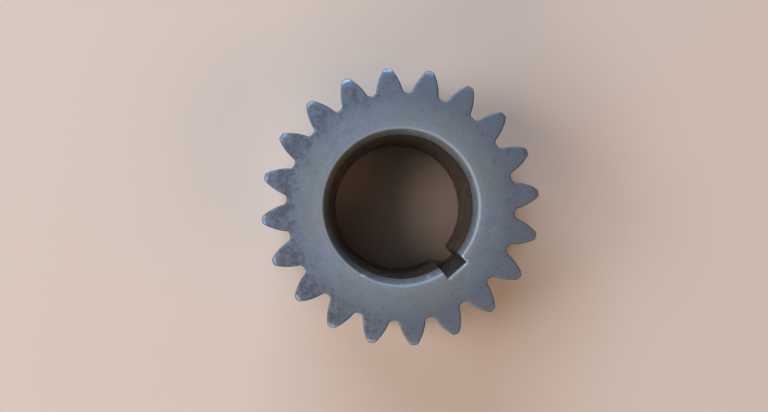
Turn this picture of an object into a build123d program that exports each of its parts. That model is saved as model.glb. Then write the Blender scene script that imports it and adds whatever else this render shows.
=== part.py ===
from build123d import *
import math
import os

# Countershaft gear: one steel piece, an external spur gear with a plain keyed bore.
# It is pressed onto a countershaft, and a parallel key in its keyway carries the torque.
#
# Frame: millimetres, +Z up along the bore axis, origin on that axis at the lower face.
# The gear lies on its lower face. The keyway and one tooth are both centred on +X.
#
# It is made as the real one is: a blank is turned with its chamfers, the tooth gaps are cut
# by a rack-shaped tool that rolls round it, and the keyway is broached. Both ends are alike.

# Teeth. Shift, shortening and the tool's sizes are in modules, as gear data are given.
module = 5.0
teeth = 20
pressure_angle = 20.0
profile_shift = 0.72
tip_shortening = 0.12
tool_addendum = 1.25
tool_tip_radius = 0.38
tip_corner_break = 0.3

# Turned blank
face_width = 46.0
tip_chamfer = 1.6
bore_diameter = 60.0
bore_chamfer = 2.0

# Keyway
keyway_width = 10.0
keyway_depth = 5.3
keyway_corner_radius = 0.4
keyway_edge_break = 0.7

# How finely each side of a tooth gap is drawn, and how far a cutter passes out of the blank
flank_points = 7
fillet_arcs = 2
overrun = 0.5

alpha = math.radians(pressure_angle)
pitch_radius = module * teeth / 2
base_radius = pitch_radius * math.cos(alpha)
tip_radius = pitch_radius + module * (1 + profile_shift - tip_shortening)
root_radius = pitch_radius + module * (profile_shift - tool_addendum)
bore_radius = bore_diameter / 2
key_seat_radius = bore_radius + keyway_depth


def involute(angle):
    """How far an involute has turned from its start on the base circle, at a pressure angle."""
    return math.tan(angle) - angle


def polar(radius, angle):
    """A point by its distance from the gear's axis and its angle from +X."""
    return (radius * math.cos(angle), radius * math.sin(angle))


def mirrored(points):
    """The same points on the other side of the gap's middle line, in the opposite order."""
    return [(x, -y) for x, y in reversed(points)]


def tool_corner():
    """The rack tool's rounded corner: radius, depth below the pitch line, distance from its middle.

    The radius is limited by the width of the tool, which keeps a narrow flat on its tip.
    """
    half_width = math.pi * module / 4
    reach = tool_addendum * module
    flat_share = 0.02
    full_round = (half_width - reach * math.tan(alpha)) * math.cos(alpha) / (1 - math.sin(alpha))
    radius = min(tool_tip_radius * module, (1 - flat_share) * full_round)
    depth = reach - radius - profile_shift * module
    offset = half_width - (reach - radius) * math.tan(alpha) - radius / math.cos(alpha)
    return radius, depth, offset


def fillet_curve():
    """The root fillet that the tool's corner leaves as it rolls, from the root circle to the flank."""
    radius, depth, offset = tool_corner()
    steps = 2 * fillet_arcs
    points = []
    for i in range(steps + 1):
        lean = (math.pi / 2 - alpha) * i / steps
        roll = (depth * math.tan(lean) - offset) / pitch_radius
        across = offset + pitch_radius * roll + radius * math.sin(lean)
        height = pitch_radius - depth - radius * math.cos(lean)
        points.append(polar(math.hypot(across, height), math.atan2(across, height) - roll))
    return points


def flank_curve():
    """The involute flank, from the end of the root fillet to the corner of the tooth's tip."""
    start_radius = math.hypot(*fillet_curve()[-1])
    end_radius = tip_radius - tip_corner_break
    half_tooth = math.pi / (2 * teeth) + 2 * profile_shift * math.tan(alpha) / teeth + involute(alpha)
    half_gap = math.pi / teeth - half_tooth
    start = math.sqrt(max(start_radius**2 - base_radius**2, 0))
    end = math.sqrt(end_radius**2 - base_radius**2)
    points = []
    for i in range(flank_points):
        tangent_length = start + (end - start) * i / (flank_points - 1)
        angle = math.atan2(tangent_length, base_radius)
        points.append(polar(base_radius / math.cos(angle), half_gap + involute(angle)))
    return points


def arcs_through(points):
    """Arcs end to end, each through three of an odd number of points."""
    for start, middle, end in zip(points[0::2], points[1::2], points[2::2]):
        ThreePointArc(start, middle, end)


def gap_outline():
    """One tooth gap, centred on +X.

    Past the flanks it turns outward at 45 degrees, which breaks the corners of the tooth tips.
    """
    root = fillet_curve()
    flank = flank_curve()
    reach = tip_corner_break + overrun
    corner_radius = math.hypot(*flank[-1])
    outer_angle = math.atan2(flank[-1][1], flank[-1][0]) + reach / corner_radius
    tip = [flank[-1], polar(corner_radius + reach, outer_angle), polar(tip_radius + module, outer_angle)]
    with BuildSketch() as outline:
        with BuildLine():
            Spline(*mirrored(flank))
            arcs_through(mirrored(root))
            ThreePointArc(mirrored(root)[-1], (root_radius, 0), root[0])
            arcs_through(root)
            Spline(*flank)
            Polyline(*tip, *mirrored(tip))
        make_face()
    return outline.sketch


def keyway_outline(height, growth):
    """The keyway from the bore's axis out to the key seat, at a height and grown on three sides."""
    length = key_seat_radius + growth
    with BuildSketch(Plane.XY.offset(height)) as outline:
        with Locations((length / 2, 0)):
            Rectangle(length, keyway_width + 2 * growth)
        outer_corners = outline.vertices().group_by(Axis.X)[-1]
        fillet(outer_corners, keyway_corner_radius + growth)
    return outline.sketch


def turned_blank():
    """The ring as it leaves the lathe, with chamfers at the bore and at the tooth tips."""
    with BuildPart() as blank:
        with BuildSketch(Plane.XZ):
            with BuildLine():
                Polyline(
                    (bore_radius, bore_chamfer),
                    (bore_radius + bore_chamfer, 0),
                    (tip_radius - tip_chamfer, 0),
                    (tip_radius, tip_chamfer),
                    (tip_radius, face_width - tip_chamfer),
                    (tip_radius - tip_chamfer, face_width),
                    (bore_radius + bore_chamfer, face_width),
                    (bore_radius, face_width - bore_chamfer),
                    close=True,
                )
            make_face()
        revolve(axis=Axis.Z)
    return blank.part


def tooth_gaps():
    """The gaps between the teeth, each cut through the whole face width."""
    gap = extrude(Pos(0, 0, -overrun) * gap_outline(), face_width + 2 * overrun)
    tooth_pitch = 360 / teeth
    return [Rot(0, 0, (i + 0.5) * tooth_pitch) * gap for i in range(teeth)]


def keyway():
    """The broached keyway, which widens at 45 degrees at both ends where its edges are broken."""
    flare = keyway_edge_break + overrun
    sections = [
        keyway_outline(-overrun, flare),
        keyway_outline(keyway_edge_break, 0),
        keyway_outline(face_width - keyway_edge_break, 0),
        keyway_outline(face_width + overrun, flare),
    ]
    return loft(sections, ruled=True)


def countershaft_gear():
    """The whole gear, with one tooth and the keyway centred on +X."""
    return turned_blank() - tooth_gaps() - keyway()


os.makedirs("parts", exist_ok=True)
export_step(countershaft_gear(), "parts/countershaft_gear.step")
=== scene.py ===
import math

import bpy
import numpy as np
from mathutils import Matrix, Vector, kdtree, noise
from mathutils.geometry import delaunay_2d_cdt


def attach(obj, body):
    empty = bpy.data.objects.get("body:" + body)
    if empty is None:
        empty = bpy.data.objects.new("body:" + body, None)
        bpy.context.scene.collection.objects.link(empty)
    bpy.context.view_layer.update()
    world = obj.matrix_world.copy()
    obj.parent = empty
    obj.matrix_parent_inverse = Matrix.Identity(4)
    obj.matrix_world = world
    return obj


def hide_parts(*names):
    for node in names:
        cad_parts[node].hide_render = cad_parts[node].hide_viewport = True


# Countershaft gear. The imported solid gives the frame. One dressed mesh replaces it here, of the same
# form, with the small breaks, wear and nicks of its edges. Lengths are in millimetres in the part's
# frame unless a comment says otherwise: the bore's axis is Z, the lower face is z = 0, and one tooth
# and the keyway are on +X.

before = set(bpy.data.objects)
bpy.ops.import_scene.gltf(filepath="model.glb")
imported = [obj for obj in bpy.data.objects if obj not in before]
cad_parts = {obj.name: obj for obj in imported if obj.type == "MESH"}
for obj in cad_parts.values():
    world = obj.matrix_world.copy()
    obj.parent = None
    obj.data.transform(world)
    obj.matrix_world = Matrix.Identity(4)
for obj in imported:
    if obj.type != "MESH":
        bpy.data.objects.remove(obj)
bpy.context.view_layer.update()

MM = 0.001

# Gear data, as in the part's source, except that the tip stays 0.01 mm inside the solid's
MODULE = 5.0
TEETH = 20
PRESSURE_ANGLE = math.radians(20)
PROFILE_SHIFT = 0.72
TOOL_ADDENDUM = 1.25
TOOL_TIP_RADIUS = 1.9
TIP_RADIUS = 57.99
TIP_CHAMFER = 1.6
FACE_WIDTH = 46.0
BORE_RADIUS = 30.0
BORE_CHAMFER = 2.0
KEYWAY_HALF_WIDTH = 5.0
KEY_SEAT = 35.3
KEYWAY_CORNER = 0.4
PITCH_RADIUS = MODULE * TEETH / 2
BASE_RADIUS = PITCH_RADIUS * math.cos(PRESSURE_ANGLE)
ROOT_RADIUS = PITCH_RADIUS + MODULE * (PROFILE_SHIFT - TOOL_ADDENDUM)
CHAMFER_OUTSIDE = BORE_RADIUS + BORE_CHAMFER
CHAMFER_START = TIP_RADIUS - TIP_CHAMFER

# Rounded corners of the outlines: at the tips of the teeth, and where the keyway meets the bore
TIP_CORNER = 0.85
MOUTH_CORNER = 0.42

# Broken edges of the ends. A zone is the stretch over which a width changes, by distance from the
# axis, or along X for the key seat.
TOOTH_BREAK = 0.52
TIP_NARROWING = 0.30
TIP_ZONE = (56.2, 57.6)
BORE_BREAK = 0.24
KEYWAY_LEFT_BREAK = 0.54
KEYWAY_RIGHT_BREAK = 0.38
SEAT_BREAK = 0.80
KEYWAY_ZONE = (31.2, 32.3)
SEAT_ZONE = (34.6, 35.2)

# Worn shoulders of the two turned chamfers, and the shallow ring that wear has left round the bore.
# Beyond the middle radius an end face has only the tip chamfer, and within it only the bore's.
TIP_SHOULDER = 0.8
BORE_SHOULDER = 0.5
RING_DEPTH = 0.16
RING_ZONE = (34.1, 31.4)
MIDDLE_RADIUS = 45.0

# Nicks in the upper end: distance from the axis, angle in degrees, size and depth
NICKS = [
    (32.3, 287.2, 0.55, 0.20),
    (32.15, 288.8, 0.60, 0.24),
    (32.05, 290.6, 0.45, 0.18),
]
NICK_REACH = 2.5

# How finely the outlines are drawn
FILLET_STEPS = 8
FLANK_STEPS = 16
LAND_STEPS = 3
CORNER_STEPS = 5
SEAT_STEPS = 6
KEYWAY_SIDE_STEPS = 10
BORE_STEPS = 330
WALL_ROWS = 12

# Extra points of the end faces: closer where the ring, the bore's chamfer and the tip chamfers bend
RING_RADII = [30.6, 31.1, 31.55, 31.8, 31.93, 32.06, 32.2, 32.45, 32.8, 33.2, 33.6, 34.0, 34.5]
RING_POINTS = 400
RING_CLEARANCE = 0.22
TIP_STEPS = [-0.5, -0.25, -0.1, 0.0, 0.1, 0.25, 0.6, 1.0]
TIP_SPACING = 0.25
TIP_HALF_WIDTH = 2.4
TIP_CLEARANCE = 0.2
FLAT_SPACING = 1.3
FLAT_ROW_SHARE = 0.866
FLAT_CLEARANCE = 0.75
FLAT_INSIDE = 35.1
FLAT_MARGIN = 0.9

# Numbers of the materials on the mesh, in the order in which it gets them
END, TOOTH, BORE, KEYWAY = range(4)

# Angles of the photograph's right and up directions in the part's frame
PHOTO_RIGHT = math.radians(48.4)
PHOTO_UP = math.radians(138.4)


def involute(angle):
    """How far an involute has turned from its start on the base circle, at a pressure angle."""
    return math.tan(angle) - angle


def polar(radius, angle):
    """A point by its distance from the axis and its angle from +X."""
    return (radius * math.cos(angle), radius * math.sin(angle))


def turned(x, y, angle):
    """A point turned round the axis."""
    return (x * math.cos(angle) - y * math.sin(angle), x * math.sin(angle) + y * math.cos(angle))


def bezier(start, control, end, steps):
    """Points of a quadratic curve, both ends included."""
    points = []
    for i in range(steps + 1):
        t = i / steps
        a, b, c = (1 - t) ** 2, 2 * t * (1 - t), t * t
        points.append(tuple(a * p + b * q + c * r for p, q, r in zip(start, control, end)))
    return points


def ramp(value, softness):
    """Zero below zero and the value above, with a soft corner."""
    return 0.5 * (value + math.sqrt(value * value + softness * softness))


def smooth(low, high, value):
    """A soft step from 0 at low to 1 at high. Low may be the larger of the two."""
    t = min(max((value - low) / (high - low), 0), 1)
    return t * t * (3 - 2 * t)


def fillet_points():
    """The root fillet that the rounded corner of a rolling rack tool leaves."""
    half_width = math.pi * MODULE / 4
    reach = TOOL_ADDENDUM * MODULE
    depth = reach - TOOL_TIP_RADIUS - PROFILE_SHIFT * MODULE
    slant = (reach - TOOL_TIP_RADIUS) * math.tan(PRESSURE_ANGLE)
    offset = half_width - slant - TOOL_TIP_RADIUS / math.cos(PRESSURE_ANGLE)
    points = []
    for i in range(FILLET_STEPS + 1):
        lean = (math.pi / 2 - PRESSURE_ANGLE) * i / FILLET_STEPS
        roll = (depth * math.tan(lean) - offset) / PITCH_RADIUS
        across = offset + PITCH_RADIUS * roll + TOOL_TIP_RADIUS * math.sin(lean)
        height = PITCH_RADIUS - depth - TOOL_TIP_RADIUS * math.cos(lean)
        points.append(polar(math.hypot(across, height), math.atan2(across, height) - roll))
    return points


def flank_point(radius):
    """The involute flank's point at a radius, with the gap centred on +X."""
    shift_angle = 2 * PROFILE_SHIFT * math.tan(PRESSURE_ANGLE) / TEETH
    half_tooth = math.pi / (2 * TEETH) + shift_angle + involute(PRESSURE_ANGLE)
    half_gap = math.pi / TEETH - half_tooth
    return polar(radius, half_gap + involute(math.acos(BASE_RADIUS / radius)))


def half_pitch():
    """Outline from the middle of a gap to the middle of a tooth, with the tip's corner rounded."""
    fillet = fillet_points()
    low = math.hypot(*fillet[-1])
    high = TIP_RADIUS - TIP_CORNER
    flank = [flank_point(low + (high - low) * i / FLANK_STEPS) for i in range(1, FLANK_STEPS + 1)]
    sharp = flank_point(TIP_RADIUS)
    land_start = math.atan2(sharp[1], sharp[0]) + TIP_CORNER / TIP_RADIUS
    corner = bezier(flank[-1], sharp, polar(TIP_RADIUS, land_start), CORNER_STEPS)[1:]
    land = []
    for i in range(1, LAND_STEPS + 1):
        land.append(polar(TIP_RADIUS, land_start + (math.pi / TEETH - land_start) * i / LAND_STEPS))
    return [(ROOT_RADIUS, 0.0)] + fillet + flank + corner + land


def tooth_loop():
    """The whole outline, anticlockwise, once round. The first gap is half a pitch from +X."""
    half = half_pitch()
    pitch = [(x, -y) for x, y in reversed(half[1:-1])] + half
    loop = []
    for k in range(TEETH):
        turn = math.radians(180 / TEETH + 360 / TEETH * k)
        loop += [turned(x, y, turn) for x, y in pitch]
    return loop


def bore_loop():
    """The bore with its keyway, clockwise, so that the steel is again on the left of the path."""
    mouth = math.asin(KEYWAY_HALF_WIDTH / BORE_RADIUS)
    corner = (BORE_RADIUS * math.cos(mouth), KEYWAY_HALF_WIDTH)
    on_side = (corner[0] + MOUTH_CORNER, KEYWAY_HALF_WIDTH)
    arc_start = mouth + MOUTH_CORNER / BORE_RADIUS
    on_bore = polar(BORE_RADIUS, arc_start)
    side_start = KEY_SEAT - KEYWAY_CORNER
    upper = [(KEY_SEAT, KEYWAY_HALF_WIDTH * i / SEAT_STEPS) for i in range(1, SEAT_STEPS)]
    upper += bezier(
        (KEY_SEAT, KEYWAY_HALF_WIDTH - KEYWAY_CORNER),
        (KEY_SEAT, KEYWAY_HALF_WIDTH),
        (side_start, KEYWAY_HALF_WIDTH),
        CORNER_STEPS,
    )
    for i in range(1, KEYWAY_SIDE_STEPS):
        x = side_start + (on_side[0] - side_start) * i / KEYWAY_SIDE_STEPS
        upper.append((x, KEYWAY_HALF_WIDTH))
    upper += bezier(on_side, corner, on_bore, CORNER_STEPS)
    sweep = 2 * math.pi - 2 * arc_start
    around = [polar(BORE_RADIUS, arc_start + sweep * i / BORE_STEPS) for i in range(1, BORE_STEPS)]
    lower = [(x, -y) for x, y in reversed(upper)]
    loop = [(KEY_SEAT, 0.0)] + upper + around + lower
    return loop[:1] + loop[:0:-1]


def loop_normals(loop):
    """Unit normals of a path with the steel on its left, pointing out of the steel."""
    normals = []
    for i, here in enumerate(loop):
        before, after = loop[i - 1], loop[(i + 1) % len(loop)]
        first = Vector(here) - Vector(before)
        second = Vector(after) - Vector(here)
        along = first.normalized() + second.normalized()
        along.normalize()
        normals.append((along.y, -along.x))
    return normals


def encloses(path, point):
    """Whether a closed path goes round a point."""
    x, y = path[:, 0], path[:, 1]
    px, py = np.roll(x, 1), np.roll(y, 1)
    spans = (y > point.y) != (py > point.y)
    slope = (px - x)[spans] / (py - y)[spans]
    return np.count_nonzero(point.x < x[spans] + slope * (point.y - y[spans])) % 2 == 1


def broken_corner(rounding, steps):
    """Inset and depth, in widths, of a 45 degree break whose two corners are rounded."""
    along = rounding * math.sqrt(0.5)
    first = bezier((1 + rounding, 0), (1, 0), (1 - along, along), steps)
    second = bezier((along, 1 - along), (0, 1), (0, 1 + rounding), steps)
    return first + second


# The cross-section of every broken edge, and how many widths from its middle its edge mark ends
BREAK_PROFILE = broken_corner(rounding=0.45, steps=4)
MARK_REACH = 1.1


def wear(x, y, end, scale):
    """Smooth noise from -1 to 1 that differs between the two ends."""
    layer = (1.7, 9.0)[end]
    return noise.noise(Vector((x / scale, y / scale, layer)))


def end_depth(x, y):
    """How far the turned end surfaces lie below the end plane: tip chamfer, bore chamfer, worn ring."""
    radius = math.hypot(x, y)
    ring = RING_DEPTH * smooth(*RING_ZONE, radius)
    if radius > MIDDLE_RADIUS:
        return ramp(radius - CHAMFER_START, TIP_SHOULDER) + ring
    return ramp(CHAMFER_OUTSIDE - radius, BORE_SHOULDER) + ring


def nick_depth(x, y):
    """How deep the nicks are at a point of the upper end."""
    total = 0.0
    for radius, angle, size, depth in NICKS:
        nick_x, nick_y = polar(radius, math.radians(angle))
        distance = math.hypot(x - nick_x, y - nick_y) / size
        if distance < NICK_REACH:
            total += depth * math.exp(-distance * distance)
    return total


def tooth_break(x, y, end):
    """Width of the break on a tooth's end edge: narrow at the tip, uneven and chipped elsewhere."""
    width = TOOTH_BREAK - TIP_NARROWING * smooth(*TIP_ZONE, math.hypot(x, y))
    coarse, fine = wear(x, y, end, 6.0), wear(x, y, end, 1.1)
    width *= 1 + 0.22 * coarse + 0.10 * fine
    chip_shift, chip_size, chip_threshold, chip_growth = (31, -17), 1.3, 0.52, 1.6
    chip = max(wear(x + chip_shift[0], y + chip_shift[1], end, chip_size) - chip_threshold, 0)
    return width * (1 + chip_growth * chip)


def bore_break(x, y, end):
    """Width of the break on the bore's edge and along the keyway's mouth."""
    in_keyway = smooth(*KEYWAY_ZONE, math.hypot(x, y))
    side = KEYWAY_LEFT_BREAK if y > 0 else KEYWAY_RIGHT_BREAK
    keyway_break = side + (SEAT_BREAK - side) * smooth(*SEAT_ZONE, x)
    width = BORE_BREAK + (keyway_break - BORE_BREAK) * in_keyway
    unevenness, patch_size = 0.14, 2.5
    return width * (1 + unevenness * wear(x, y, end, patch_size))


def bore_wall_material(point):
    """The walls of the keyway lie further out than the bore's wall."""
    return KEYWAY if math.hypot(*point) > BORE_RADIUS + 0.05 else BORE


def bore_break_material(point):
    """The broken edge belongs to the end face where it has left the bore's chamfer."""
    return END if math.hypot(*point) > CHAMFER_OUTSIDE else BORE


class Gear:
    """Collects the vertices, faces, material numbers and edge marks of the one mesh."""

    def __init__(self):
        self.vertices = []
        self.marks = []
        self.faces = []
        self.face_materials = []

    def vertex(self, x, y, z, mark=0.0):
        self.vertices.append((x * MM, y * MM, z * MM))
        self.marks.append(mark)
        return len(self.vertices) - 1

    def face(self, corners, material):
        self.faces.append(corners)
        self.face_materials.append(material)


def surface_z(depth, end):
    """Height of a point that lies some depth inside the lower end, 0, or the upper end, 1."""
    return FACE_WIDTH - depth if end else depth


def break_rows(gear, loop, break_width, end):
    """Rows of vertices down the broken edge of one end, from its face to the wall."""
    normals = loop_normals(loop)
    widths = [break_width(x, y, end) for x, y in loop]
    rows = []
    for inset, depth in BREAK_PROFILE:
        row = []
        mark = max(0.0, 1 - abs(inset - depth) / MARK_REACH)
        for (x, y), (nx, ny), width in zip(loop, normals, widths):
            px, py = x - nx * inset * width, y - ny * inset * width
            total = depth * width + end_depth(px, py)
            row.append(gear.vertex(px, py, surface_z(total, end), mark))
        rows.append(row)
    return rows


def add_side(gear, loop, break_width, wall_material, break_material):
    """One closed side of the gear: the broken edge of both ends and the wall between them.

    Returns the rows of vertices next to the two end faces, lower end first.
    """
    lower = break_rows(gear, loop, break_width, 0)
    upper = break_rows(gear, loop, break_width, 1)
    wall = []
    for i in range(1, WALL_ROWS):
        share = i / WALL_ROWS
        row = []
        for j, (x, y) in enumerate(loop):
            z_low = gear.vertices[lower[-1][j]][2] / MM
            z_high = gear.vertices[upper[-1][j]][2] / MM
            row.append(gear.vertex(x, y, z_low + (z_high - z_low) * share))
        wall.append(row)
    sheet = lower + wall + upper[::-1]
    strips = len(sheet) - 1
    break_strips = len(BREAK_PROFILE) - 1
    for i in range(strips):
        on_break = i < break_strips or i >= strips - break_strips
        material_at = break_material if on_break else wall_material
        for j in range(len(loop)):
            k = (j + 1) % len(loop)
            corners = (sheet[i][j], sheet[i][k], sheet[i + 1][k], sheet[i + 1][j])
            gear.face(corners, material_at(loop[j]))
    return lower[0], upper[0]


def candidate_points():
    """Extra points for an end face, each with the distance that it keeps from the outlines."""
    for n, radius in enumerate(RING_RADII):
        for i in range(RING_POINTS):
            x, y = polar(radius, 2 * math.pi * (i + 0.5 * (n % 2)) / RING_POINTS)
            yield x, y, RING_CLEARANCE
    for n, step in enumerate(TIP_STEPS):
        radius = CHAMFER_START + step
        half_angle = math.asin(TIP_HALF_WIDTH / radius)
        reach = int(TIP_HALF_WIDTH / TIP_SPACING) + 1
        for k in range(TEETH):
            for i in range(-reach, reach + 1):
                angle = (i + 0.5 * (n % 2)) * TIP_SPACING / radius
                if abs(angle) <= half_angle:
                    x, y = polar(radius, 2 * math.pi * k / TEETH + angle)
                    yield x, y, TIP_CLEARANCE
    columns = int(2 * TIP_RADIUS / FLAT_SPACING) + 1
    rows = int(2 * TIP_RADIUS / (FLAT_SPACING * FLAT_ROW_SHARE)) + 1
    for j in range(rows):
        y = -TIP_RADIUS + j * FLAT_SPACING * FLAT_ROW_SHARE
        for i in range(columns):
            x = -TIP_RADIUS + (i + 0.5 * (j % 2)) * FLAT_SPACING
            if FLAT_INSIDE < math.hypot(x, y) < CHAMFER_START - FLAT_MARGIN:
                yield x, y, FLAT_CLEARANCE


def inside_points(outer, inner):
    """The extra points that lie on the steel and clear of its two outlines."""
    near = []
    for loop in (outer, inner):
        for i, (x, y) in enumerate(loop):
            px, py = loop[i - 1]
            near += [(x + (px - x) * share, y + (py - y) * share) for share in (0, 0.25, 0.5, 0.75)]
    tree = kdtree.KDTree(len(near))
    for i, (x, y) in enumerate(near):
        tree.insert((x, y, 0), i)
    tree.balance()
    outer_path, inner_path = np.array(outer), np.array(inner)
    points = []
    for x, y, clearance in candidate_points():
        here = Vector((x, y, 0))
        if tree.find(here)[2] < clearance:
            continue
        if encloses(outer_path, here) and not encloses(inner_path, here):
            points.append((x, y))
    return points


def add_end(gear, end, outer_row, inner_row):
    """The end face between the broken edges of the teeth and of the bore."""
    outer = [tuple(c / MM for c in gear.vertices[i][:2]) for i in outer_row]
    inner = [tuple(c / MM for c in gear.vertices[i][:2]) for i in inner_row]
    extra = inside_points(outer, inner)
    indices = outer_row + inner_row
    for x, y in extra:
        depth = end_depth(x, y)
        if end:
            depth += nick_depth(x, y)
        indices.append(gear.vertex(x, y, surface_z(depth, end)))
    n, m = len(outer), len(inner)
    borders = [(i, (i + 1) % n) for i in range(n)] + [(n + i, n + (i + 1) % m) for i in range(m)]
    points = [Vector(p) for p in outer + inner + extra]
    all_triangles, tolerance, keep_origins = 0, 1e-6, True
    result = delaunay_2d_cdt(points, borders, [], all_triangles, tolerance, keep_origins)
    coordinates, triangles, origins = result[0], result[2], result[3]
    outer_path, inner_path = np.array(outer), np.array(inner)
    for triangle in triangles:
        a, b, c = (coordinates[i] for i in triangle)
        middle = (a + b + c) / 3
        sources = [origins[i][0] for i in triangle]
        if max(sources) < n and not encloses(outer_path, middle):
            continue
        if min(sources) >= n and max(sources) < n + m and encloses(inner_path, middle):
            continue
        corners = [indices[i] for i in sources]
        turn = (b.x - a.x) * (c.y - a.y) - (b.y - a.y) * (c.x - a.x)
        if (turn > 0) != bool(end):
            corners.reverse()
        gear.face(tuple(corners), BORE if middle.length < CHAMFER_OUTSIDE else END)


def gear_mesh():
    """The dressed gear: one closed mesh, with the marks of its broken edges as an attribute."""
    gear = Gear()
    outer_rows = add_side(gear, tooth_loop(), tooth_break, lambda point: TOOTH, lambda point: END)
    inner_rows = add_side(gear, bore_loop(), bore_break, bore_wall_material, bore_break_material)
    for end in (0, 1):
        add_end(gear, end, outer_rows[end], inner_rows[end])
    made = bpy.data.meshes.new("gear")
    made.from_pydata(gear.vertices, [], gear.faces)
    made.polygons.foreach_set("material_index", gear.face_materials)
    edge_layer = made.attributes.new("edge", "FLOAT", "POINT")
    edge_layer.data.foreach_set("value", gear.marks)
    made.shade_smooth()
    made.update()
    return made


class Surface:
    """A steel surface built of nodes. Lengths in its calls are in millimetres."""

    def __init__(self, name):
        self.material = bpy.data.materials.new(name)
        self.material.use_nodes = True
        self.tree = self.material.node_tree
        self.shader = self.tree.nodes["Principled BSDF"]
        self.shader.inputs["Metallic"].default_value = 1.0
        place = self.node("ShaderNodeTexCoord").outputs["Object"]
        self.place = self.vector("SCALE", place, scale=1 / MM)
        self.parts = self.node("ShaderNodeSeparateXYZ", [self.place]).outputs
        flat = self.node("ShaderNodeCombineXYZ", [self.parts["X"], self.parts["Y"], 0.0]).outputs[0]
        self.radius = self.node("ShaderNodeVectorMath", [flat], operation="LENGTH").outputs["Value"]

    def node(self, kind, inputs=(), **settings):
        """A new node, with its first inputs filled in order."""
        made = self.tree.nodes.new(kind)
        for name, value in settings.items():
            setattr(made, name, value)
        for socket, value in zip(made.inputs, inputs):
            self.put(socket, value)
        return made

    def put(self, socket, value):
        """Links another node's output to a socket, or sets the socket to a plain value."""
        if value is None:
            return
        if isinstance(value, bpy.types.NodeSocket):
            self.tree.links.new(value, socket)
        else:
            socket.default_value = value

    def vector(self, operation, first, second=None, scale=None):
        made = self.node("ShaderNodeVectorMath", [first, second], operation=operation)
        if scale is not None:
            self.put(made.inputs["Scale"], scale)
        return made.outputs["Vector"]

    def math(self, operation, first, second=None):
        return self.node("ShaderNodeMath", [first, second], operation=operation).outputs[0]

    def between(self, value, low, high, start=0.0, end=1.0):
        """A soft step: start at low and end at high, either of which may be the larger."""
        inputs = [value, low, high, start, end]
        made = self.node("ShaderNodeMapRange", inputs, interpolation_type="SMOOTHSTEP")
        return made.outputs["Result"]

    def noise(self, size, detail=3.0, roughness=0.5, place=None, stretch=None, shift=0.0):
        """Noise with features of about this size, longer along an axis whose stretch is over 1."""
        place = place or self.place
        if shift:
            place = self.vector("ADD", place, (shift, -shift, 0.37 * shift))
        if stretch:
            place = self.vector("DIVIDE", place, stretch)
        made = self.node("ShaderNodeTexNoise")
        self.put(made.inputs["Vector"], place)
        made.inputs["Scale"].default_value = 1 / size
        made.inputs["Detail"].default_value = detail
        made.inputs["Roughness"].default_value = roughness
        return made.outputs["Fac"]

    def round_place(self):
        """Radius, angle round the axis and height, for marks that run round it."""
        angle = self.math("ARCTAN2", self.parts["Y"], self.parts["X"])
        return self.node("ShaderNodeCombineXYZ", [self.radius, angle, self.parts["Z"]]).outputs[0]

    def mix(self, share, first, second):
        """A colour or number that goes from the first to the second."""
        colours = not isinstance(first, float) and not isinstance(second, float)
        if isinstance(first, bpy.types.NodeSocket) and first.type == "VALUE":
            colours = False
        if colours:
            made = self.node("ShaderNodeMix", data_type="RGBA")
            sockets, result = (0, 6, 7), 2
        else:
            made = self.node("ShaderNodeMix", data_type="FLOAT")
            sockets, result = (0, 2, 3), 0
        for index, value in zip(sockets, (share, first, second)):
            self.put(made.inputs[index], (*value, 1) if isinstance(value, tuple) else value)
        return made.outputs[result]

    def cover(self, colour, mask, strength, coat):
        """A colour with another laid over it where a mask is 1."""
        return self.mix(self.math("MULTIPLY", mask, strength), colour, coat)

    def shaded(self, colour, factor):
        """A colour made lighter or darker by a number."""
        return self.vector("SCALE", colour, scale=factor)

    def edge_mark(self):
        """The mesh's edge marks, for wear on the bore and painted shade on the ends: 1 in the middle of
        a broken edge, 0 away from it.
        """
        return self.node("ShaderNodeAttribute", attribute_name="edge").outputs["Fac"]

    def finish(self, colour, roughness, height, depth):
        """Connects the shader and gives the material. Depth is how deep the bump is."""
        self.put(self.shader.inputs["Base Color"], colour)
        self.put(self.shader.inputs["Roughness"], roughness)
        bump = self.node("ShaderNodeBump")
        bump.inputs["Strength"].default_value = 1.0
        bump.inputs["Distance"].default_value = depth * MM
        self.put(bump.inputs["Height"], height)
        self.tree.links.new(bump.outputs["Normal"], self.shader.inputs["Normal"])
        return self.material


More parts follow.
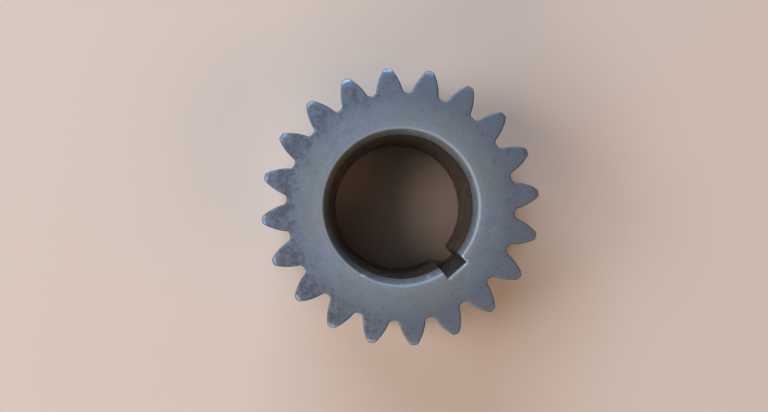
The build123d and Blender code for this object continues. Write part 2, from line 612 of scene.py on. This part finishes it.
def end_surface():
    """The ground ends of the gear: mottled blue-grey, a polished ring round the bore, stained teeth."""
    face_dark, face_pale = (0.230, 0.274, 0.344), (0.284, 0.338, 0.418)
    face_cloud = (0.256, 0.296, 0.310)
    tooth_dark = (0.155, 0.196, 0.272)
    stain_dark, stain_pale = (0.095, 0.104, 0.126), (0.158, 0.185, 0.234)
    speck_dark = (0.10, 0.09, 0.10)
    ring_bright = (0.59, 0.665, 0.765)
    # Painted shade at the outer edge of the bore's chamfer
    chamfer_edge_shade = (0.105, 0.125, 0.155)
    tip_bright = (0.22, 0.29, 0.385)
    # Painted shade: the dark colours of the broken edges of the teeth and the keyway
    tooth_edge_shade, bore_edge_shade = (0.072, 0.080, 0.095), (0.138, 0.126, 0.122)

    s = Surface("gear_end")
    mottle = s.noise(9.0, detail=5.0, roughness=0.6)
    grain = s.noise(0.55, detail=3.0, roughness=0.6)
    cloud = s.noise(22.0, detail=2.0, shift=40.0)
    rings = s.noise(0.5, detail=2.0, place=s.round_place(), stretch=(1.0, 0.35, 4.0))
    colour = s.mix(s.between(mottle, 0.32, 0.68), face_dark, face_pale)
    colour = s.mix(s.between(cloud, 0.42, 0.62, 0.0, 0.6), colour, face_cloud)
    colour = s.mix(s.between(s.radius, 38.0, 48.0, 0.0, 0.6), colour, tooth_dark)

    # Dark, blotched stains, most of them on the teeth at the photograph's left
    left_x = s.math("MULTIPLY", s.parts["X"], -math.cos(PHOTO_RIGHT))
    left_y = s.math("MULTIPLY", s.parts["Y"], -math.sin(PHOTO_RIGHT))
    side = s.between(s.math("ADD", left_x, left_y), -10.0, 42.0)
    outer = s.between(s.radius, 40.0, 50.0)
    patches = s.noise(3.6, detail=8.0, roughness=0.74, shift=11.0)
    reach = s.math("MULTIPLY", outer, s.math("MULTIPLY", side, 0.17))
    stain = s.between(s.math("ADD", patches, reach), 0.52, 0.74)
    stain = s.math("MULTIPLY", stain, s.between(s.radius, 36.0, 46.0, 0.15, 0.85))
    blotches = s.noise(0.9, detail=4.0, roughness=0.78, shift=61.0)
    tint = s.mix(s.between(blotches, 0.40, 0.60), stain_dark, stain_pale)
    colour = s.mix(stain, colour, tint)
    colour = s.shaded(colour, s.between(s.radius, 34.0, 38.0, 1.14, 1.0))

    # Pits and specks, fine grain and faint turning rings
    speck_noise = s.noise(0.9, detail=2.0, roughness=0.7, shift=5.0)
    specks = s.between(s.math("ADD", speck_noise, s.math("MULTIPLY", stain, 0.07)), 0.66, 0.72)
    colour = s.cover(colour, specks, 0.75, speck_dark)
    colour = s.shaded(colour, s.between(grain, 0.25, 0.75, 0.90, 1.10))
    colour = s.shaded(colour, s.between(rings, 0.3, 0.7, 0.965, 1.035))
    roughness = s.mix(s.between(mottle, 0.3, 0.7), 0.70, 0.62)
    roughness = s.mix(stain, roughness, 0.74)

    # The polished ring, and a dark line of painted shade where the bore's chamfer starts
    ring_edge = s.math("ADD", s.radius, s.math("MULTIPLY", s.noise(4.0, shift=21.0), 0.5))
    ring = s.between(ring_edge, 33.9, 33.3)
    colour = s.cover(colour, ring, 0.85, ring_bright)
    roughness = s.mix(ring, roughness, 0.52)
    corner = s.between(s.radius, 32.65, 32.15)
    colour = s.cover(colour, corner, 0.9, chamfer_edge_shade)
    roughness = s.mix(corner, roughness, 0.66)

    # The turned tip chamfers, rubbed bright in places, and the broken edges of the teeth and the keyway,
    # darkened with painted shade in uneven patches
    scuff_noise = s.noise(1.3, detail=4.0, roughness=0.7, shift=33.0)
    scuffs = s.between(scuff_noise, 0.36, 0.62, 0.20, 1.0)
    tip = s.math("MULTIPLY", s.between(s.radius, 55.9, 56.9), scuffs)
    colour = s.cover(colour, tip, 0.9, tip_bright)
    roughness = s.mix(tip, roughness, 0.42)
    edge_patchiness = s.between(s.noise(1.6, detail=3.0, shift=3.0), 0.34, 0.52, 0.25, 1.0)
    edge_mask = s.math("MULTIPLY", s.edge_mark(), edge_patchiness)
    edge_shade_colour = s.mix(s.between(s.radius, 40.0, 38.0), tooth_edge_shade, bore_edge_shade)
    colour = s.cover(colour, edge_mask, 0.85, edge_shade_colour)
    roughness = s.mix(edge_mask, roughness, 0.58)

    height = s.math("ADD", s.math("MULTIPLY", grain, 0.5), s.math("MULTIPLY", rings, 0.25))
    height = s.math("SUBTRACT", height, s.math("MULTIPLY", specks, 1.2))
    height = s.math("ADD", height, s.math("MULTIPLY", mottle, 1.5))
    return s.finish(colour, roughness, height, 0.03)


def tooth_surface():
    """The flanks: a polished working band, lengthwise lines, darker towards the roots."""
    flank_dark, flank_pale = (0.30, 0.325, 0.36), (0.37, 0.395, 0.43)
    root_darker = (0.175, 0.170, 0.170)
    band_bright = (0.46, 0.485, 0.52)
    spot_brown = (0.16, 0.115, 0.085)

    s = Surface("gear_tooth")
    lines = s.noise(0.35, detail=3.0, roughness=0.6, stretch=(1.0, 1.0, 26.0))
    patches = s.noise(6.0, detail=5.0, roughness=0.6, shift=9.0)
    grain = s.noise(0.5, detail=3.0, roughness=0.6)
    colour = s.mix(s.between(patches, 0.35, 0.65), flank_dark, flank_pale)
    root = s.between(s.math("ADD", s.radius, s.math("MULTIPLY", patches, 1.6)), 51.2, 49.6)
    colour = s.cover(colour, root, 0.8, root_darker)

    # The working band stops short of both ends, of the root and of the tip
    middle = s.math("ABSOLUTE", s.math("SUBTRACT", s.parts["Z"], FACE_WIDTH / 2))
    band_end = s.between(s.math("ADD", middle, s.math("MULTIPLY", patches, 5.0)), 23.5, 21.0)
    band_low = s.between(s.math("ADD", s.radius, s.math("MULTIPLY", patches, 1.2)), 50.9, 51.9)
    band_high = s.between(s.radius, 57.95, 57.6)
    band = s.math("MULTIPLY", band_end, s.math("MULTIPLY", band_low, band_high))
    colour = s.cover(colour, band, 0.7, band_bright)
    colour = s.shaded(colour, s.between(lines, 0.3, 0.7, 0.90, 1.08))
    spots = s.between(s.noise(1.5, detail=4.0, roughness=0.7, shift=17.0), 0.66, 0.74)
    colour = s.cover(colour, spots, 0.7, spot_brown)

    roughness = s.mix(band, s.mix(root, 0.44, 0.55), 0.27)
    roughness = s.math("ADD", roughness, s.between(lines, 0.3, 0.7, 0.05, -0.04))
    roughness = s.mix(spots, roughness, 0.7)
    height = s.math("ADD", lines, s.math("MULTIPLY", grain, 0.3))
    height = s.math("SUBTRACT", height, s.math("MULTIPLY", spots, 0.8))
    return s.finish(colour, roughness, height, 0.02)


def bore_surface():
    """The bore and its chamfers: honed round, with the brown film of a press fit."""
    wall_dark, wall_pale = (0.188, 0.165, 0.140), (0.242, 0.232, 0.220)
    press_film = (0.142, 0.112, 0.088)
    # The chamfer's inner colour is painted shade, deepening towards the bore
    chamfer_shade_inside, chamfer_outside = (0.060, 0.064, 0.068), (0.090, 0.108, 0.135)
    edge_bright = (0.34, 0.35, 0.36)

    s = Surface("gear_bore")
    hone = s.noise(0.3, detail=3.0, roughness=0.6, place=s.round_place(), stretch=(1.0, 0.9, 1.0))
    patches = s.noise(8.0, detail=6.0, roughness=0.62, shift=14.0)
    grain = s.noise(0.5, detail=3.0, roughness=0.6)
    colour = s.mix(s.between(patches, 0.36, 0.62), wall_dark, wall_pale)
    film = s.between(s.noise(5.0, detail=6.0, roughness=0.65, shift=28.0), 0.50, 0.66)
    colour = s.cover(colour, film, 0.7, press_film)
    # Painted shade: the chamfer darkens towards the bore
    chamfer = s.between(s.radius, BORE_RADIUS + 0.1, BORE_RADIUS + 0.4)
    chamfer_colour = s.mix(s.between(s.radius, 30.3, 31.9), chamfer_shade_inside, chamfer_outside)
    colour = s.cover(colour, chamfer, 0.85, chamfer_colour)
    colour = s.shaded(colour, s.between(hone, 0.3, 0.7, 0.88, 1.10))
    edge_mask = s.math("MULTIPLY", s.edge_mark(), s.between(grain, 0.4, 0.6, 0.4, 1.0))
    colour = s.cover(colour, edge_mask, 0.7, edge_bright)
    roughness = s.mix(film, s.mix(chamfer, 0.34, 0.66), 0.52)
    roughness = s.math("ADD", roughness, s.between(hone, 0.3, 0.7, 0.04, -0.04))
    height = s.math("ADD", hone, s.math("MULTIPLY", grain, 0.3))
    return s.finish(colour, roughness, height, 0.015)


def keyway_surface():
    """The broached keyway: dark, with lines along it."""
    broached_dark, broached_pale = (0.165, 0.172, 0.165), (0.260, 0.268, 0.255)

    s = Surface("gear_keyway")
    lines = s.noise(0.35, detail=3.0, roughness=0.6, stretch=(1.0, 1.0, 40.0))
    patches = s.noise(4.0, detail=4.0, roughness=0.6, shift=6.0)
    colour = s.mix(s.between(patches, 0.35, 0.65), broached_dark, broached_pale)
    colour = s.shaded(colour, s.between(lines, 0.3, 0.7, 0.80, 1.15))
    roughness = s.mix(s.between(lines, 0.3, 0.7), 0.50, 0.38)
    return s.finish(colour, roughness, lines, 0.02)


mesh = gear_mesh()
piece = bpy.data.objects.new("gear", mesh)
bpy.context.scene.collection.objects.link(piece)
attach(piece, "root")
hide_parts("countershaft_gear")
for surface in (end_surface, tooth_surface, bore_surface, keyway_surface):
    mesh.materials.append(surface())

# Floor, a disc whose radius is in metres
floor_radius = 1.3
rim_points = 96
rim = [polar(floor_radius, 2 * math.pi * i / rim_points) for i in range(rim_points)]
floor_mesh = bpy.data.meshes.new("floor")
floor_mesh.from_pydata([(x, y, 0) for x, y in rim], [], [range(rim_points)])
floor = bpy.data.objects.new("floor", floor_mesh)
bpy.context.scene.collection.objects.link(floor)
floor_material = bpy.data.materials.new("floor")
floor_material.use_nodes = True
floor_shader = floor_material.node_tree.nodes["Principled BSDF"]
floor_shader.inputs["Base Color"].default_value = (0.615, 0.507, 0.446, 1)
floor_shader.inputs["Roughness"].default_value = 0.9
floor_shader.inputs["Specular IOR Level"].default_value = 0.15
floor_mesh.materials.append(floor_material)

# The photograph's right and up directions on the floor
right = Vector((math.cos(PHOTO_RIGHT), math.sin(PHOTO_RIGHT), 0))
up = Vector((math.cos(PHOTO_UP), math.sin(PHOTO_UP), 0))

# Lamps, in metres: how far they are, and the point that they shine at
lamp_distance = 2.4
lamp_target = Vector((0, 0, 0.03))


def photo_direction(azimuth, elevation):
    """A direction by its angle in the photograph, anticlockwise from its right, and its elevation."""
    a, e = math.radians(azimuth), math.radians(elevation)
    flat = math.cos(a) * right + math.sin(a) * up
    return math.cos(e) * flat + math.sin(e) * Vector((0, 0, 1))


def area_lamp(name, azimuth, elevation, width, height, power, colour):
    """A soft lamp by its direction from the gear, its size in metres, its watts and its colour."""
    lamp = bpy.data.lights.new(name, "AREA")
    lamp.shape = "RECTANGLE"
    lamp.size = width
    lamp.size_y = height
    lamp.energy = power
    lamp.color = colour
    item = bpy.data.objects.new(name, lamp)
    bpy.context.scene.collection.objects.link(item)
    item.location = lamp_target + lamp_distance * photo_direction(azimuth, elevation)
    item.rotation_euler = (lamp_target - item.location).to_track_quat("-Z", "Y").to_euler()


area_lamp("key", 106, 23, 2.2, 1.0, 64.0, (0.66, 0.83, 1.0))
area_lamp("left", 181, 30, 1.6, 0.8, 33.0, (0.74, 0.88, 1.0))
area_lamp("low_left", 243, 23, 2.2, 1.0, 38.0, (1.0, 0.88, 0.74))
area_lamp("high_left", 180, 48, 0.8, 0.7, 10.5, (1.0, 0.82, 0.72))
area_lamp("bounce", 330, 32, 2.0, 0.9, 17.5, (1.0, 0.60, 0.34))

# World: pale and cool towards the window behind the key lamp, dim and warm away from it, and dark
# overhead, where the photograph's light is blocked
window_azimuth = 135
warm_side, cool_side = (0.235, 0.152, 0.112), (0.77, 0.87, 0.965)
level, overhead = (1.0, 1.0, 1.0), (0.04, 0.04, 0.04)
world = bpy.data.worlds.new("studio")
bpy.context.scene.world = world
world.use_nodes = True
world_nodes, world_links = world.node_tree.nodes, world.node_tree.links


def sky_ramp(value, low, high, first, last):
    """A soft change from one colour to another as a number goes from low to high."""
    made = world_nodes.new("ShaderNodeValToRGB")
    made.color_ramp.interpolation = "EASE"
    for element, position, colour in zip(made.color_ramp.elements, (low, high), (first, last)):
        element.position = position
        element.color = (*colour, 1)
    world_links.new(value, made.inputs["Fac"])
    return made.outputs["Color"]


sky_direction = world_nodes.new("ShaderNodeTexCoord").outputs["Generated"]
toward_window = world_nodes.new("ShaderNodeVectorMath")
toward_window.operation = "DOT_PRODUCT"
world_links.new(sky_direction, toward_window.inputs[0])
toward_window.inputs[1].default_value = photo_direction(window_azimuth, 0)
sky_height = world_nodes.new("ShaderNodeSeparateXYZ")
world_links.new(sky_direction, sky_height.inputs[0])
sky = world_nodes.new("ShaderNodeMix")
sky.data_type = "RGBA"
sky.blend_type = "MULTIPLY"
sky.inputs[0].default_value = 1.0
world_links.new(sky_ramp(toward_window.outputs["Value"], 0.1, 0.85, warm_side, cool_side), sky.inputs[6])
world_links.new(sky_ramp(sky_height.outputs["Z"], 0.05, 0.80, level, overhead), sky.inputs[7])
world_links.new(sky.outputs[2], world_nodes["Background"].inputs["Color"])

# Camera, from the photograph: its height and foot, its slight tilt and its focal length
camera_height = 285.0
camera_foot = (-11.0, -2.3)
tilt_right, tilt_up = math.radians(0.96), math.radians(0.6)
camera_data = bpy.data.cameras.new("camera")
camera_data.sensor_width = 36.0
camera_data.lens = 27.12
camera_data.clip_start = 0.01
camera = bpy.data.objects.new("camera", camera_data)
bpy.context.scene.collection.objects.link(camera)
place = (camera_foot[0] * right + camera_foot[1] * up) * MM
place.z = camera_height * MM
view = Vector((0, 0, -1)) + math.tan(tilt_right) * right + math.tan(tilt_up) * up
view.normalize()
side = (right - view * right.dot(view)).normalized()
top = side.cross(view)
turn = Matrix((side, top, -view)).transposed().to_4x4()
camera.matrix_world = Matrix.Translation(place) @ turn
bpy.context.scene.camera = camera

bpy.context.scene.view_settings.view_transform = "Standard"
